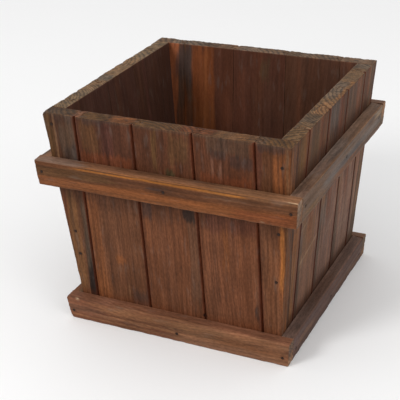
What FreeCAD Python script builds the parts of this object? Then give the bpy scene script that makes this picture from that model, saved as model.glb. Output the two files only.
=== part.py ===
import FreeCAD, Part
import math
import os

import Sketcher
from FreeCAD import Placement, Rotation, Vector

# A tapered wooden planter box. Four leaning walls of tongue-and-groove boards stand between two
# bands of rails, and a slatted floor lies on two cleats inside. The front and back walls cover the
# ends of the side walls, and the front and back rails cover the ends of the side rails.
# Millimetres, +Z up, origin at the middle of the foot. The front wall faces -Y.

SIZES = {
    # the box
    "top_width": 300,
    "foot_width": 257,
    "height": 272,
    "wall_thick": 20,
    # boards, from joint to joint; the end boards take what is left, and the side walls' joints are
    # a little off the middle
    "front_board": 72,
    "side_board": 65.5,
    "side_shift": 2,
    "joint_gap": 0.2,
    "vee_width": 1.4,
    "vee_depth": 2.6,
    "tongue_length": 6,
    "tongue_thick": 6,
    "tongue_play": 0.3,
    # rails, nailed flat on the leaning walls
    "rail_thick": 15,
    "rail_tall": 31.5,
    "mid_rail_low": 185.5,
    "mid_rail_round": 1.5,
    "base_rail_round": 3.5,
    # floor
    "cleat_thick": 15,
    "cleat_tall": 18,
    "cleat_low": 10,
    "cleat_play": 0.5,
    "slat_thick": 12,
    "slat_gap": 6,
    "slat_margin": 2,
    "slat_play": 0.8,
    "slat_ease": 1,
    # nails
    "head_radius": 1.6,
    "head_thick": 0.8,
    "head_sink": 0.3,
    "shank_radius": 0.8,
    "point_length": 2,
    "nail_length": 32,
    "floor_nail_length": 26,
    "nail_play": 0.05,
    "mid_nail_high": 203,
    "base_nail_high": 12,
    "middle_nail_shift": 4,
    "cleat_nail_apart": 80,
}
CORNER_NAIL_HEIGHTS = {-1: (258, 119, 88), 1: (247, 166, 103)}  # left and right end of a wall
WALLS = {"front": 0, "right": 90, "back": 180, "left": 270}  # turn about Z from the front wall
COVERING = ("front", "back")  # the walls and rails that cover the ends of the other two
BOARDS = 5
SLATS = 4
CUT_MARGIN = 5  # how far a tapering cut runs past the foot and the top
LEAST_BITE = 1e-6  # cubic mm a nail hole must take from a piece to count as entering it

# Expressions of the sheet that several pieces share.
LEAN = "((Sizes.top_width - Sizes.foot_width) / 2 / Sizes.height)"
FOOT = "(Sizes.foot_width / 2)"
ACROSS = f"cos(atan({LEAN}))"  # level share of a step square to a wall
DOWN = f"sin(atan({LEAN}))"  # drop of a step square to a wall
CLEAT_TOP = "(Sizes.cleat_low + Sizes.cleat_tall)"
INNER_AT_FLOOR = f"({FOOT} - Sizes.wall_thick + {LEAN} * {CLEAT_TOP})"
SLAT_WIDTH = (
    f"((2 * ({INNER_AT_FLOOR} - Sizes.slat_margin) - {SLATS - 1} * Sizes.slat_gap) / {SLATS})"
)
RAIL_STOCK = "(Sizes.top_width + 4 * Sizes.rail_thick)"  # length of a rail before its ends are cut

doc = FreeCAD.newDocument("planter_box")
sheet = doc.addObject("Spreadsheet::Sheet", "Sizes")
for row, (alias, value) in enumerate(SIZES.items(), 1):
    sheet.set(f"A{row}", alias)
    sheet.set(f"B{row}", str(value))
    sheet.setAlias(f"B{row}", alias)
doc.recompute()


def size(alias):
    """A driving dimension, read from the sheet."""
    return float(sheet.get(alias))


# ---------------------------------------------------------------- drawing


def add_sketch(body, name, plane_role, outlines):
    """A sketch of closed outlines on one of the body's own origin planes. Each outline is a list
    of (x, y) corners, and each coordinate is an expression of the sheet."""
    sketch = body.newObject("Sketcher::SketchObject", f"{body.Name}_{name}")
    planes = {feature.Role: feature for feature in body.Origin.OriginFeatures}
    sketch.AttachmentSupport = [(planes[plane_role], "")]
    sketch.MapMode = "FlatFace"
    for corners in outlines:
        first, count = sketch.GeometryCount, len(corners)
        turns = [2 * math.pi * i / count for i in range(count)]
        loose = [Vector(math.cos(turn), math.sin(turn), 0) * 50 for turn in turns]
        for i in range(count):
            sketch.addGeometry(Part.LineSegment(loose[i], loose[(i + 1) % count]))
        for i, corner in enumerate(corners):
            line, after = first + i, first + (i + 1) % count
            sketch.addConstraint(Sketcher.Constraint("Coincident", line, 2, after, 1))
            for kind, expression in zip(("DistanceX", "DistanceY"), corner):
                fixed = sketch.addConstraint(Sketcher.Constraint(kind, -1, 1, line, 1, 1.0))
                sketch.setExpression(f"Constraints[{fixed}]", expression)
    return sketch


def add_pad(body, sketch, length, both_ways=False):
    """The sketch pulled out along its normal, by an expression of the sheet."""
    pad = body.newObject("PartDesign::Pad", f"{body.Name}_pad")
    pad.Profile = sketch
    pad.setExpression("Length", length)
    pad.SideType = "Symmetric" if both_ways else "One side"
    return pad


def cut_leaning_ends(body, reach_at_foot, ends):
    """Cuts the body's ends (-1 left, 1 right) to planes that lean outwards as the walls do, and
    pass reach_at_foot from the middle at the foot."""
    low, high = f"(-{CUT_MARGIN})", f"(Sizes.height + {CUT_MARGIN})"
    outlines = []
    for end in ends:
        at_low = f"{end} * ({reach_at_foot} + {LEAN} * {low})"
        at_high = f"{end} * ({reach_at_foot} + {LEAN} * {high})"
        beyond = f"{end} * Sizes.top_width"
        outlines.append([(at_low, low), (at_high, high), (beyond, high), (beyond, low)])
    sketch = add_sketch(body, "ends", "XZ_Plane", outlines)
    doc.recompute()
    before = body.Shape.Volume
    pocket = body.newObject("PartDesign::Pocket", f"{body.Name}_end_cut")
    pocket.Profile = sketch
    pocket.Type = "ThroughAll"
    pocket.SideType = "Symmetric"
    doc.recompute()
    assert body.Shape.Volume < before, f"{body.Name}: the end cut removed nothing"


def ease_edges(body, kind, size_alias, wanted):
    """A Fillet or Chamfer along the straight edges whose ends both pass wanted(point)."""
    doc.recompute()
    solid = body.Tip
    names = [
        f"Edge{number}"
        for number, edge in enumerate(solid.Shape.Edges, 1)
        if all(wanted(vertex.Point) for vertex in edge.Vertexes)
    ]
    dress = body.newObject(f"PartDesign::{kind}", f"{body.Name}_{kind.lower()}")
    dress.Base = (solid, names)
    dress.setExpression("Radius" if kind == "Fillet" else "Size", f"Sizes.{size_alias}")
    return dress


def new_body(name, wall="front"):
    """A body drawn as a piece of the front wall and turned round to its own wall."""
    body = doc.addObject("PartDesign::Body", f"{name}_body")
    body.Placement = Placement(Vector(), Rotation(Vector(0, 0, 1), WALLS[wall]))
    return body


# ---------------------------------------------------------------- walls


def joint_place(wall, index):
    """Where the wall's joint after board number index lies, from the middle of the wall."""
    steps = index - BOARDS / 2
    if wall in COVERING:
        return f"({steps} * Sizes.front_board)"
    return f"({steps} * Sizes.side_board + Sizes.side_shift)"


def board_section(left, right, free_end):
    """Corners of a board's level section at the foot. left and right are joints, or None at the
    wall's free end. A board has a groove on its left edge and a tongue on its right one."""
    outer, inner = f"(-{FOOT})", f"(-{FOOT} + Sizes.wall_thick)"
    middle = f"(-{FOOT} + Sizes.wall_thick / 2)"
    half_tongue = "Sizes.tongue_thick / 2"
    half_groove = f"({half_tongue} + Sizes.tongue_play / 2)"
    if left is None:
        corners = [(f"-{free_end}", inner), (f"-{free_end}", outer)]
    else:
        edge = f"{left} + Sizes.joint_gap / 2"
        bottom = f"{edge} + Sizes.tongue_length + Sizes.tongue_play"
        corners = [
            (edge, inner),
            (edge, f"{middle} + {half_groove}"),
            (bottom, f"{middle} + {half_groove}"),
            (bottom, f"{middle} - {half_groove}"),
            (edge, f"{middle} - {half_groove}"),
            (edge, f"{outer} + Sizes.vee_depth"),
            (f"{edge} + Sizes.vee_width", outer),
        ]
    if right is None:
        corners += [(free_end, outer), (free_end, inner)]
    else:
        edge = f"{right} - Sizes.joint_gap / 2"
        tip = f"{edge} + Sizes.tongue_length"
        corners += [
            (f"{edge} - Sizes.vee_width", outer),
            (edge, f"{outer} + Sizes.vee_depth"),
            (edge, f"{middle} - {half_tongue}"),
            (tip, f"{middle} - {half_tongue}"),
            (tip, f"{middle} + {half_tongue}"),
            (edge, f"{middle} + {half_tongue}"),
            (edge, inner),
        ]
    return corners


def make_board(wall, number):
    """A wall board: a level section pulled upwards along the leaning wall, so that its foot and
    top are level. An end board is ripped to a taper along the corner of the box."""
    body = new_body(f"{wall}_board_{number}", wall)
    left = joint_place(wall, number - 1) if number > 1 else None
    right = joint_place(wall, number) if number < BOARDS else None
    reach = FOOT if wall in COVERING else f"({FOOT} - Sizes.wall_thick)"
    section = board_section(left, right, "(Sizes.top_width / 2)")
    pad = add_pad(body, add_sketch(body, "section", "XY_Plane", [section]), "Sizes.height")
    pad.UseCustomVector = True
    pad.Direction = Vector(0, 0, 1)
    pad.setExpression("Direction.y", f"-{LEAN}")
    if left is None:
        cut_leaning_ends(body, reach, [-1])
    if right is None:
        cut_leaning_ends(body, reach, [1])
    return body


# ---------------------------------------------------------------- rails, cleats and slats


def on_wall(height, step="0"):
    """The (y, z) expressions of a point on the front wall's outer face at a height, then a step
    outwards, square to the wall."""
    return f"-({FOOT} + {LEAN} * {height} + {ACROSS} * {step})", f"({height} - {DOWN} * {step})"


def make_rail(wall, band):
    """A rail of the middle or base band, lying flat on the leaning wall. The base rail's underside
    is planed level with the ground."""
    body = new_body(f"{wall}_{band}_rail", wall)
    if band == "middle":
        low, rounding = "Sizes.mid_rail_low", "mid_rail_round"
        high = f"({low} + {ACROSS} * Sizes.rail_tall)"
        foot_corners = [on_wall(low), on_wall(low, "Sizes.rail_thick")]
    else:
        high, rounding = f"({ACROSS} * Sizes.rail_tall)", "base_rail_round"
        foot_corners = [(f"-{FOOT}", "0"), (f"-({FOOT} + Sizes.rail_thick / {ACROSS})", "0")]
    section = [*foot_corners, on_wall(high, "Sizes.rail_thick"), on_wall(high)]
    sketch = add_sketch(body, "section", "YZ_Plane", [section])
    add_pad(body, sketch, RAIL_STOCK, both_ways=True)
    reach = f"({FOOT} + Sizes.rail_thick / {ACROSS})" if wall in COVERING else FOOT
    cut_leaning_ends(body, reach, [-1, 1])
    # The middle rail is eased all round its outer face, the base rail along its upper edge only.
    outer = body.Tip.Shape.BoundBox.YMin + size("rail_thick") / 2
    lowest = size("rail_tall") / 2 if band == "base" else 0
    ease_edges(body, "Fillet", rounding, lambda point: point.y < outer and point.z > lowest)
    return body


def make_cleat(wall):
    """The batten inside a side wall that carries the floor slats. Its top is level."""
    body = new_body(f"{wall}_floor_cleat", wall)
    low, high = "Sizes.cleat_low", CLEAT_TOP
    inner_at = f"{FOOT} - Sizes.wall_thick + {LEAN}"
    face = f"-({inner_at} * {low} - Sizes.cleat_thick)"
    section = [(f"-({inner_at} * {low})", low), (face, low), (face, high)]
    section.append((f"-({inner_at} * {high})", high))
    sketch = add_sketch(body, "section", "YZ_Plane", [section])
    add_pad(body, sketch, "Sizes.top_width", both_ways=True)
    cut_leaning_ends(body, f"({FOOT} - Sizes.wall_thick - Sizes.cleat_play)", [-1, 1])
    return body


def make_slat(number):
    """A floor slat, eased along its upper edges. It lies across the two cleats."""
    body = new_body(f"floor_slat_{number}")
    half_long = f"({INNER_AT_FLOOR} - Sizes.slat_play)"
    half_wide = f"({SLAT_WIDTH} / 2)"
    corners = [(-1, -1), (1, -1), (1, 1), (-1, 1)]
    outline = [(f"{x} * {half_long}", f"{y} * {half_wide}") for x, y in corners]
    add_pad(body, add_sketch(body, "outline", "XY_Plane", [outline]), "Sizes.slat_thick")
    half_up = size("slat_thick") / 2
    ease_edges(body, "Chamfer", "slat_ease", lambda point: point.z > half_up)
    steps = number - (SLATS + 1) / 2
    body.setExpression("Placement.Base.y", f"{steps} * ({SLAT_WIDTH} + Sizes.slat_gap)")
    body.setExpression("Placement.Base.z", CLEAT_TOP)
    return body


# ---------------------------------------------------------------- nails


def make_nail(name, length_alias, play="0", rise="0"):
    """A flat-headed nail, turned about Z with its head's top at the origin and its point down.
    With play it is the hole for that nail, and rise opens the hole to the face above."""
    body = doc.addObject("PartDesign::Body", name)
    head = f"(Sizes.head_radius + {play})"
    shank = f"(Sizes.shank_radius + {play})"
    under_head = f"(-Sizes.head_thick - {play})"
    tip = f"(-Sizes.{length_alias} - {play})"
    profile = [
        ("0", rise),
        (head, rise),
        (head, under_head),
        (shank, under_head),
        (shank, f"{tip} + Sizes.point_length"),
        ("0", tip),
    ]
    sketch = add_sketch(body, "profile", "XZ_Plane", [profile])
    turned = body.newObject("PartDesign::Revolution", f"{name}_turned")
    turned.Profile = sketch
    turned.ReferenceAxis = (sketch, ["V_Axis"])
    turned.Angle = 360
    doc.recompute()
    return body


def half_at(height):
    """Half the box's outer width at a height."""
    lean = (size("top_width") - size("foot_width")) / 2 / size("height")
    return size("foot_width") / 2 + lean * height


def into_wall():
    """The direction square to the front wall, inwards."""
    tilt = math.atan2(half_at(size("height")) - half_at(0), size("height"))
    return Vector(0, math.cos(tilt), math.sin(tilt))


def on_face(x, height, step):
    """A point on the front wall's outer face, then a step outwards, square to the wall."""
    return Vector(x, -half_at(height), height) - into_wall() * step


# A nail's place is (head point, direction, turn about Z): point and direction are those of a piece
# of the front wall, and the turn takes them to their own wall.


def corner_nail_places():
    """Through the ends of the front and back walls, into the ends of the side walls."""
    places = []
    for wall in COVERING:
        for end, heights in CORNER_NAIL_HEIGHTS.items():
            for height in heights:
                x = end * (half_at(height) - size("wall_thick") / 2)
                head = on_face(x, height, -size("head_sink"))
                places.append((head, into_wall(), WALLS[wall]))
    return places


def rail_nail_places(height):
    """Three nails in each rail of a band: one in the middle and one at each end, which goes into
    the end of the covered rail, or into the edge of the covering wall."""
    places = []
    for wall, turn in WALLS.items():
        covering = wall in COVERING
        past_wall = size("rail_thick") / 2 if covering else -size("wall_thick") / 2
        at_end = half_at(height) + past_wall
        for x in (-at_end, size("middle_nail_shift"), at_end):
            head = on_face(x, height, size("rail_thick") - size("head_sink"))
            places.append((head, into_wall(), turn))
    return places


def cleat_nail_places():
    """Level, through each cleat into its side wall."""
    height = size("cleat_low") + size("cleat_tall") / 2
    face = half_at(size("cleat_low")) - size("wall_thick") - size("cleat_thick")
    outwards, apart = Vector(0, -1, 0), size("cleat_nail_apart")
    heads = [Vector(x, -face - size("head_sink"), height) for x in (-apart, 0, apart)]
    return [
        (head, outwards, WALLS[wall]) for wall in WALLS if wall not in COVERING for head in heads
    ]


def floor_nail_places(slats):
    """Down through both ends of each slat into the cleats, two nails an end."""
    x = half_at(size("cleat_low")) - size("wall_thick") - size("cleat_thick") / 2
    places = []
    for slat in slats:
        box = slat.Shape.BoundBox
        top, step = box.ZMax - size("head_sink"), box.YLength / 4
        for y in (box.Center.y - step, box.Center.y + step):
            places += [(Vector(end * x, y, top), Vector(0, 0, -1), 0) for end in (-1, 1)]
    return places


def driven(shape, place):
    """A copy of a nail or nail hole, put where a nail is driven."""
    head, direction, turn = place
    aimed = Placement(head, Rotation(Vector(0, 0, -1), direction))
    copy = shape.copy()
    copy.Placement = Placement(Vector(), Rotation(Vector(0, 0, 1), turn)).multiply(aimed)
    return copy


def drill(name, piece, holes):
    """The piece with a pilot hole for each nail that enters it."""
    wanted = [hole for hole in holes if hole.common(piece.Shape).Volume > LEAST_BITE]
    if not wanted:
        piece.Label = name
        return piece
    tool = doc.addObject("Part::Feature", f"{name}_holes")
    tool.Shape = Part.makeCompound(wanted)
    cut = doc.addObject("Part::Cut", f"{name}_drilled")
    cut.Base = piece
    cut.Tool = tool
    cut.Label = name
    return cut


# ---------------------------------------------------------------- assembly

pieces = {}
for wall in WALLS:
    for number in range(1, BOARDS + 1):
        pieces[f"{wall}_board_{number}"] = make_board(wall, number)
    for band in ("middle", "base"):
        pieces[f"{wall}_{band}_rail"] = make_rail(wall, band)
    if wall not in COVERING:
        pieces[f"{wall}_floor_cleat"] = make_cleat(wall)
for number in range(1, SLATS + 1):
    pieces[f"floor_slat_{number}"] = make_slat(number)
doc.recompute()

slats = [pieces[f"floor_slat_{number}"] for number in range(1, SLATS + 1)]
nail_groups = {
    "corner": ("nail_length", corner_nail_places()),
    "mid_rail": ("nail_length", rail_nail_places(size("mid_nail_high"))),
    "base_rail": ("nail_length", rail_nail_places(size("base_nail_high"))),
    "cleat": ("floor_nail_length", cleat_nail_places()),
    "floor": ("floor_nail_length", floor_nail_places(slats)),
}
nails, nail_holes = {}, {}
for length in ("nail_length", "floor_nail_length"):
    nails[length] = make_nail(f"{length}_nail", length)
    nail_holes[length] = make_nail(f"{length}_hole", length, "Sizes.nail_play", "Sizes.head_thick")

nodes, holes = [], []
for group, (length, places) in nail_groups.items():
    holes += [driven(nail_holes[length].Shape, place) for place in places]
    node = doc.addObject("Part::Feature", f"{group}_nail_group")
    node.Shape = Part.makeCompound([driven(nails[length].Shape, place) for place in places])
    node.Label = f"{group}_nails"
    nodes.append(node)
nodes += [drill(name, piece, holes) for name, piece in pieces.items()]
doc.recompute()

# ---------------------------------------------------------------- checks and files

for thing in doc.Objects:
    faults = {"Invalid", "Error"} & set(thing.State)
    assert not faults, f"{thing.Name} is {faults}"
for node in nodes:
    assert not node.Shape.isNull() and node.Shape.isValid(), f"{node.Label} has no valid shape"
os.makedirs("parts", exist_ok=True)
for node in nodes:
    node.Shape.exportStep(f"parts/{node.Label}.step")
    print(f"{node.Label}: {len(node.Shape.Solids)} solids, {node.Shape.Volume / 1000:.1f} cm3")
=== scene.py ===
import math

import bpy
import numpy as np
from mathutils import Matrix, Vector
from mathutils.geometry import delaunay_2d_cdt
from numpy.linalg import norm


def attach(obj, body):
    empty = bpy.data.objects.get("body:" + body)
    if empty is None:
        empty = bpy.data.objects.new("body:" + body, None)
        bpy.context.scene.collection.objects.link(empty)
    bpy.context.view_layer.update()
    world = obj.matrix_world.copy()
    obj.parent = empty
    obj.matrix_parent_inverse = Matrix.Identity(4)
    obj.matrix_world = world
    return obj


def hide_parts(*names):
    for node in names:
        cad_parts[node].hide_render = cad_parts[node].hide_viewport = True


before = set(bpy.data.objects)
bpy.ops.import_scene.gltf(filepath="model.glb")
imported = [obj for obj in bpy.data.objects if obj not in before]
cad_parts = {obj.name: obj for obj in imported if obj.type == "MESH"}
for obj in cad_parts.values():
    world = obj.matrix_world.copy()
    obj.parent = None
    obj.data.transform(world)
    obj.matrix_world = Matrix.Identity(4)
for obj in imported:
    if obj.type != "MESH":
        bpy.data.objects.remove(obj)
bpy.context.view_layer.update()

# A weathered wooden planter box. Every wooden CAD piece is replaced by a finely divided copy with
# raised grain, worn edges and knocked corners; the nails only get a new material. Each piece is
# shaped and painted in millimetres as a piece of the front wall, then turned to its own wall.

MM = 0.001

# ---- sizes, as in the CAD model

FOOT, TOP, HEIGHT = 128.5, 150.0, 272.0  # half widths of the box, and its height
LEAN = (TOP - FOOT) / HEIGHT
COS, SIN = math.cos(math.atan(LEAN)), math.sin(math.atan(LEAN))
THICK = 20.0
BOARD = {"front": 72.0, "side": 65.5}
SIDE_SHIFT = 2.0
JOINT_GAP, VEE_WIDTH, VEE_DEPTH = 0.2, 1.4, 2.6
TONGUE_LONG, TONGUE_THICK, TONGUE_PLAY = 6.0, 6.0, 0.3
RAIL_THICK, RAIL_TALL, MID_RAIL_LOW = 15.0, 31.5, 185.5
MID_ROUND, BASE_ROUND = 1.5, 3.5
CLEAT_THICK, CLEAT_LOW, CLEAT_HIGH, CLEAT_PLAY = 15.0, 10.0, 28.0, 0.5
SLAT_THICK, SLAT_GAP, SLAT_MARGIN, SLAT_PLAY, SLAT_EASE = 12.0, 6.0, 2.0, 0.8, 1.0
CORNER_NAILS = {-1: (258, 119, 88), 1: (247, 166, 103)}
MID_NAIL_HIGH, BASE_NAIL_HIGH, MIDDLE_NAIL = 203.0, 12.0, 4.0
CLEAT_NAILS = (-80.0, 0.0, 80.0)
HEAD_RADIUS = 1.6

WALLS = {"front": 0, "right": 90, "back": 180, "left": 270}
FRONT, BACK, LEFT, RIGHT = (0, -1, 0), (0, 1, 0), (-1, 0, 0), (1, 0, 0)
UP, DOWN = (0, 0, 1), (0, 0, -1)
COVERING = ("front", "back")
BOARDS, SLATS = 5, 4


def kind_of(wall):
    return "front" if wall in COVERING else "side"


def half_at(z):
    """Half the box's outer width at a height."""
    return FOOT + LEAN * z


def linear(colour):
    """An sRGB colour of 0 to 255 as linear light."""
    c = np.array(colour, float) / 255
    return np.where(c <= 0.04045, c / 12.92, ((c + 0.055) / 1.055) ** 2.4)


def smooth(value, low, high):
    """0 below low and 1 above high, with an even slope between."""
    t = np.clip((value - low) / (high - low), 0, 1)
    return t * t * (3 - 2 * t)


def bell(value, width):
    return np.exp(-((value / width) ** 2))


def mixed(below, above, share):
    return below * (1 - share) + above * share


# ---- noise

LATTICE = np.random.default_rng(31).random(1 << 14)


def lattice(ix, iy, iz, seed):
    """A fixed random number from 0 to 1 for a whole-numbered place."""
    key = (ix * 73856093) ^ (iy * 19349663) ^ (iz * 83492791) ^ (seed * 40503)
    return LATTICE[key & (len(LATTICE) - 1)]


def noise(x, y=0.0, z=0.0, seed=0):
    """Smooth noise from 0 to 1, one bump to a unit, so an axis is divided by a bump's size."""
    axes = np.broadcast_arrays(*(np.asarray(axis, float) for axis in (x, y, z)))
    cells = [np.floor(axis).astype(np.int64) for axis in axes]
    ix, iy, iz = cells
    fx, fy, fz = ((a - c) ** 2 * (3 - 2 * (a - c)) for a, c in zip(axes, cells))
    total = 0
    for dx, wx in ((0, 1 - fx), (1, fx)):
        for dy, wy in ((0, 1 - fy), (1, fy)):
            for dz, wz in ((0, 1 - fz), (1, fz)):
                total = total + wx * wy * wz * lattice(ix + dx, iy + dy, iz + dz, seed)
    return total


def rough(x, y=0.0, z=0.0, seed=0):
    """Noise of three sizes, from 0 to 1."""
    parts = [noise(x * k, y * k, z * k, seed + k) / k for k in (1, 2, 4)]
    return sum(parts) / 1.75


# ---- outlines

STEP = {"outer": 1.0, "inner": 1.9, "side": 1.1, "joint": 2.4, "vee": 0.7}
NAIL_RINGS = (-3.4, -2.6, -2.1, -1.7, -0.9, 0, 0.9, 1.7, 2.1, 2.6, 3.4)
ARC_POINTS = 6
FAR = 99.0  # to the nearest worn edge of a piece that has none


def spread(low, high, step, marks=()):
    """Places from low to high about a step apart, and close together round each mark."""
    fine = [m + ring for m in marks for ring in NAIL_RINGS if low + 0.3 < m + ring < high - 0.3]
    even = np.linspace(low, high, max(2, round((high - low) / step) + 1))
    inner = [p for p in even[1:-1] if all(abs(p - f) > 0.45 for f in fine)]
    return np.array(sorted([low, high, *inner, *fine]))


def trace(corners, seed, marks=()):
    """A closed outline. Each corner is (u, v, how far its rounding reaches, the kind of edge that
    follows, whether it is worn). marks are points that the outer edges are divided finely round."""
    spots = np.array([corner[:2] for corner in corners], float)
    count = len(corners)
    points = []
    for i, (_, _, reach, kind, _) in enumerate(corners):
        here, before, after = spots[i], spots[i - 1], spots[(i + 1) % count]
        back = (before - here) / norm(before - here)
        on = (after - here) / norm(after - here)
        if reach:
            for t in np.linspace(0, 1, ARC_POINTS)[:-1]:
                start, end = here + back * reach, here + on * reach
                points.append((1 - t) ** 2 * start + 2 * t * (1 - t) * here + t * t * end)
        along = norm(after - here)
        on_edge = [(np.array(mark) - here) @ on for mark in marks] if kind == "outer" else []
        for p in spread(reach, along - corners[(i + 1) % count][2], STEP[kind], on_edge)[:-1]:
            points.append(here + on * p)
    uv = np.array(points)
    worn = np.array([corner[:2] for corner in corners if corner[4]], float)
    if len(worn):
        to_edge = norm(uv[:, None] - worn[None], axis=2).min(1)
    else:
        to_edge = np.full(len(uv), FAR)
    return {"uv": uv, "to_edge": to_edge, "seed": 7 * seed}


def fill(ring, step):
    """Triangles inside a closed outline, and the extra points in it that they use."""
    count = len(ring)
    low, high = ring.min(0), ring.max(0)
    across = np.arange(low[0] + step / 2, high[0], step)
    up = np.arange(low[1] + step / 2, high[1], step)
    grid = np.stack(np.meshgrid(across, up), -1).reshape(-1, 2)
    shift = np.stack([noise(grid[:, 0], grid[:, 1], seed=s) - 0.5 for s in (5, 6)], 1)
    grid = grid + shift * step * 0.5
    start, end = ring, np.roll(ring, -1, 0)
    x, y = grid[:, :1], grid[:, 1:]
    crosses = (start[:, 1] > y) != (end[:, 1] > y)
    rise = np.where(end[:, 1] == start[:, 1], 1e-9, end[:, 1] - start[:, 1])
    hit = crosses & (x < start[:, 0] + (y - start[:, 1]) / rise * (end[:, 0] - start[:, 0]))
    inside = hit.sum(1) % 2 == 1
    edge = end - start
    t = np.einsum("pij,ij->pi", grid[:, None] - start[None], edge) / (edge**2).sum(1)
    nearest = start + np.clip(t, 0, 1)[..., None] * edge
    clear = norm(grid[:, None] - nearest, axis=2).min(1) > step * 0.45
    extra = grid[inside & clear]
    every = [Vector(point) for point in [*ring, *extra]]
    found = delaunay_2d_cdt(every, [], [list(range(count))], 1, 1e-7)
    source = [ids[0] for ids in found[3]]
    return extra, [[source[i] for i in face] for face in found[2]]


# ---- a piece's mesh

END_STEPS = (0, 0.03, 0.12, 0.3, 0.6, 1.0, 1.7)
END_REACH = 2.4  # what these steps are multiplied by, for each mm that the end is rounded
CAP_STEP = 1.6
CAP_WEAR = 0.4  # what is added to a point's distance from a worn edge across an end
WEAR_PATCH = 7


def stations(low, high, step, reach, marks=()):
    """Places along a piece, close together at its ends and round its nails."""
    near = np.array(END_STEPS) * reach
    middle = spread(low + near[-1], high - near[-1], step, marks)
    return np.concatenate([low + near[:-1], middle, (high - near[:-1])[::-1]])


def sweep(outline, along, place, low_ends, high_ends):
    """The outline drawn through the stations and closed at both ends. low_ends and high_ends
    give the roundings of a piece's four end edges: left, right, near and far."""
    uv = outline["uv"]
    count = len(uv)
    across, over = ((uv - uv.min(0)) / (uv.max(0) - uv.min(0))).T

    def set_back(distance, radius, salt):
        """How far the outline has drawn in at a distance from the end."""
        patch = salt[0] / WEAR_PATCH
        worn = 0.6 + 0.8 * noise(patch, seed=salt[1])
        worn = worn * (1 + 0.8 * smooth(noise(patch, seed=salt[1] + 1), 0.55, 0.95))
        reach = np.maximum(radius * (worn if np.max(radius) > 0.5 else 1), 0.02)
        short = np.clip(1 - distance[:, None] / reach, 0, 1)
        return reach * (1 - np.sqrt(1 - short**2))

    u, v = (np.broadcast_to(axis, (len(along), count)) for axis in uv.T)
    for end, (distance, sizes) in enumerate(
        ((along - along[0], low_ends), (along[-1] - along, high_ends))
    ):
        key = outline["seed"] + 10 * end
        left, right, near, far = (
            set_back(distance, size, (axis, key + k))
            for k, (size, axis) in enumerate(zip(sizes, (uv[:, 1], uv[:, 1], uv[:, 0], uv[:, 0])))
        )
        u = u + (1 - across) * left - across * right
        v = v + (1 - over) * near - over * far
    s = np.broadcast_to(along[:, None], u.shape)
    rows = len(along)
    i, j = np.meshgrid(np.arange(count), np.arange(rows - 1))
    here, after = j * count + i, j * count + (i + 1) % count
    quads = np.stack([here, after, after + count, here + count], -1).reshape(-1, 4)
    faces = quads.tolist()
    section = [np.stack([u.ravel(), v.ravel(), s.ravel()], 1)]
    to_end = np.minimum(along - along[0], along[-1] - along)[:, None]
    to_edge = [np.minimum(outline["to_edge"], to_end + CAP_WEAR).ravel()]
    total = count * rows
    for row, flip in ((0, True), (rows - 1, False)):
        ring = np.stack([u[row], v[row]], 1)
        extra, triangles = fill(ring, CAP_STEP)
        for triangle in triangles:
            ids = [row * count + k if k < count else total + k - count for k in triangle]
            faces.append(ids[::-1] if flip else ids)
        section.append(np.column_stack([extra, np.full(len(extra), along[row])]))
        reach = norm(extra[:, None] - ring[None], axis=2).min(1)
        to_edge.append(reach + CAP_WEAR)
        total += len(extra)
    section = np.concatenate(section)
    xyz = np.stack(place(*section.T), 1)
    return {
        "section": section,
        "xyz": xyz,
        "faces": faces,
        "to_edge": np.concatenate(to_edge),
        "normal": vertex_normals(xyz, faces),
    }


def vertex_normals(xyz, faces):
    """The normals of a mesh of triangles and quads, weighted by area."""
    total = np.zeros_like(xyz)
    for size in (3, 4):
        group = np.array([face for face in faces if len(face) == size])
        if not len(group):
            continue
        corner = [xyz[group[:, k]] for k in range(size)]
        if size == 3:
            across = np.cross(corner[1] - corner[0], corner[2] - corner[0])
        else:
            across = np.cross(corner[2] - corner[0], corner[3] - corner[1])
        for k in range(size):
            np.add.at(total, group[:, k], across)
    return total / (norm(total, axis=1)[:, None] + 1e-12)


# ---- colours

COLOUR = dict(
    amber=(158, 100, 46), orange=(124, 74, 42), rust=(112, 60, 36),
    ochre=(116, 84, 48), sand=(134, 98, 70), cream=(222, 196, 160), pink=(132, 92, 74),
    plum=(82, 48, 40), umber=(66, 42, 31), olive=(94, 70, 44), moss=(62, 54, 36),
    grey=(82, 68, 57), ash=(104, 94, 88), slate=(54, 47, 47), soot=(34, 30, 30),
    ember=(124, 72, 46), cinnamon=(100, 54, 28),
)

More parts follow.
